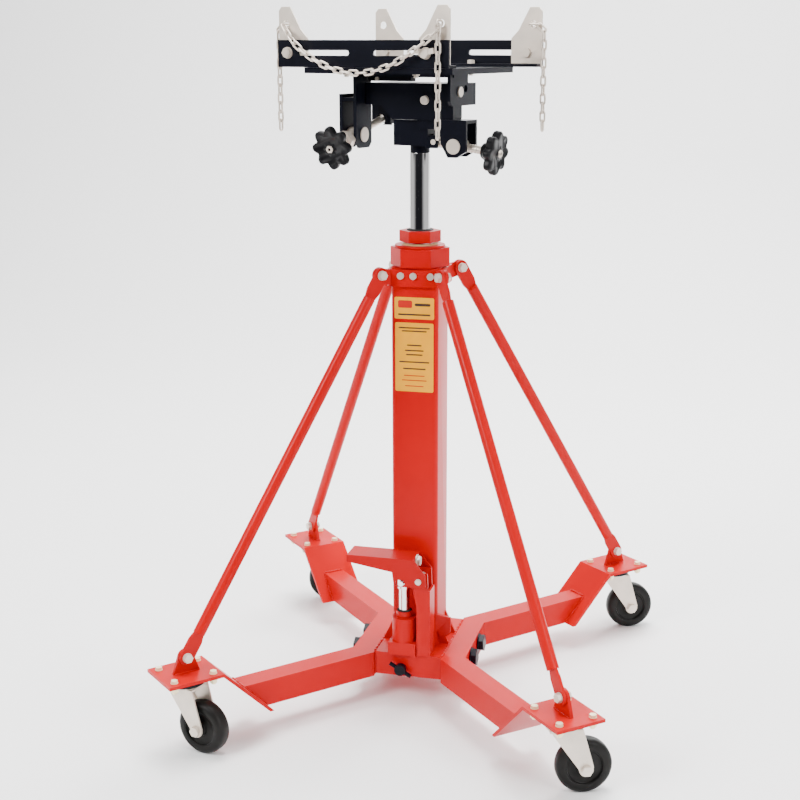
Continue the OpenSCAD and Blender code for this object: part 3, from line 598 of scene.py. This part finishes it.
def handwheel(node, name, start, place, body):
    mould = bmesh.new()
    ring = bmesh.ops.create_circle(mould, cap_ends=True, segments=128, radius=0.033)
    for v in ring["verts"]:
        around = math.atan2(v.co.y, v.co.x)
        v.co *= 1.0 + 0.125 * math.cos(8 * around) * (1.0 - 0.25 * math.cos(8 * around))
    back = ring["verts"][0].link_faces[0]
    face = next(
        g for g in bmesh.ops.extrude_face_region(mould, geom=[back])["geom"]
        if isinstance(g, bmesh.types.BMFace)
    )
    rounded_rim = (
        (0.0015, 1.05), (0.003, 1.04), (0.006, 1.0), (0.003, 0.99), (0.0022, 0.94), (0.0008, 0.86),
    )
    for rise, size in rounded_rim:
        bmesh.ops.translate(mould, verts=face.verts, vec=(0, 0, rise))
        bmesh.ops.scale(mould, verts=face.verts, vec=(size, size, 1.0))
        face = next(
            g for g in bmesh.ops.extrude_face_region(mould, geom=[face])["geom"]
            if isinstance(g, bmesh.types.BMFace)
        )
    dished_face = ((-0.0030, 0.80), (-0.0006, 0.86), (0.0026, 0.72), (0.0012, 0.88))
    for rise, size in dished_face:
        bmesh.ops.scale(mould, verts=face.verts, vec=(size, size, 1.0))
        bmesh.ops.translate(mould, verts=face.verts, vec=(0, 0, rise))
        face = next(
            g for g in bmesh.ops.extrude_face_region(mould, geom=[face])["geom"]
            if isinstance(g, bmesh.types.BMFace)
        )
    bmesh.ops.dissolve_degenerate(mould, dist=0.00001, edges=mould.edges)
    bmesh.ops.create_cone(
        mould, cap_ends=True, segments=48, radius1=0.0135, radius2=0.022, depth=0.017,
        matrix=Matrix.Translation((0, 0, -0.0075)),
    )
    bmesh.ops.recalc_face_normals(mould, faces=mould.faces)
    bmesh.ops.translate(mould, verts=mould.verts, vec=(0, 0, start))
    bmesh.ops.transform(mould, matrix=place, verts=mould.verts)
    for f in mould.faces:
        f.smooth = True
    for e in mould.edges:
        e.smooth = e.calc_face_angle(0) < math.radians(50)
    piece = bpy.data.objects.new(name, bpy.data.meshes.new(name))
    mould.to_mesh(piece.data)
    mould.free()
    bpy.context.collection.objects.link(piece)
    piece.data.materials.append(phenolic)
    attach(piece, body)
    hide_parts(node)
    nut = [
        (0.0035, start + 0.012), (0.0072, start + 0.012), (0.0072, start + 0.0185),
        (0.0066, start + 0.0192), (0.0035, start + 0.0192),
    ]
    turned(name + "_nut", nut, place, zinc, body, steps=6)


handwheel("side_knob", "side_handwheel", 0.112, side_way, "side_screw")
handwheel("long_knob", "long_handwheel", 0.193, long_way, "long_screw")

# The wheels are solid black nylon, turned with a rounded tread, a raised rim
# and a dished web round the boss, and they run on the plain axle bolt.
nylon = moulded("wheel_nylon", (0.003, 0.003, 0.003), (0.012, 0.011, 0.010), 700, 0.34)
half = [
    (0.0051, 0.0165), (0.0128, 0.0165), (0.0138, 0.0158), (0.0150, 0.0112), (0.0185, 0.0098),
    (0.0290, 0.0098), (0.0310, 0.0112), (0.0318, 0.0142), (0.0330, 0.0150), (0.0400, 0.0150),
    (0.0432, 0.0144), (0.0462, 0.0128), (0.0484, 0.0104), (0.0496, 0.0070), (0.0500, 0.0030),
]
outline = half + [(r, -h) for r, h in reversed(half)]
kingpin_reach, axle_trail, axle_height = 0.509, 0.037, 0.05
upright = Matrix.Rotation(math.radians(90), 4, "X")
corners = (("fl", 227.5, -16), ("fr", -47.5, 22.4), ("rl", 132.5, 22.4), ("rr", 47.5, 22.4))
for corner, heading, trail in corners:
    leg, way = math.radians(heading), math.radians(trail)
    away_x = kingpin_reach * math.cos(leg) + axle_trail * math.cos(way)
    away_y = kingpin_reach * math.sin(leg) + axle_trail * math.sin(way)
    hub_point = Matrix.Translation((away_x, away_y, axle_height))
    place = hub_point @ Matrix.Rotation(way, 4, "Z") @ upright
    wheel = turned("nylon_wheel_" + corner, outline, place, nylon, "roll_" + corner, steps=96)
    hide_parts("wheel_" + corner)
